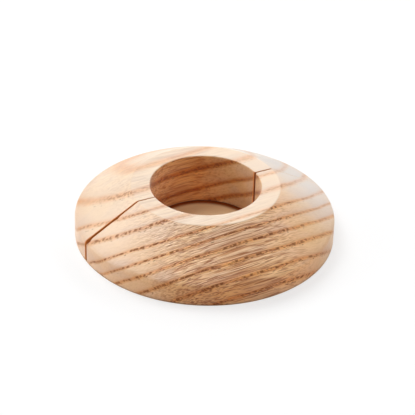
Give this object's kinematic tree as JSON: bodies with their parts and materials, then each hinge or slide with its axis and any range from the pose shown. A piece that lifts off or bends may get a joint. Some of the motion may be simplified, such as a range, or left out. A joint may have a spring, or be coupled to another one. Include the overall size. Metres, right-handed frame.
{
  "type": "split handrail rosette",
  "caption": "Turned wooden cover ring in two dowelled halves, with a conical face and a flat land round the bore, that closes round a handrail at the wall.",
  "frame": {"origin": "centre of the base on the bore axis, where the rosette sits on the wall or, laid down, on a surface", "axes": "+Z along the bore and the rail, out of the wall; X along the sawn joint and the grain of the wood; Y across the joint, front half at -Y"},
  "size_m": [0.1, 0.1, 0.021],
  "materials": {
    "ash": "sanded ash, clear matt oil",
    "beech": "dry planed beech"
  },
  "bodies": {
    "root": {"front_half": "ash", "back_half": "ash", "dowel_left": "beech", "dowel_right": "beech"}
  },
  "joints": []
}
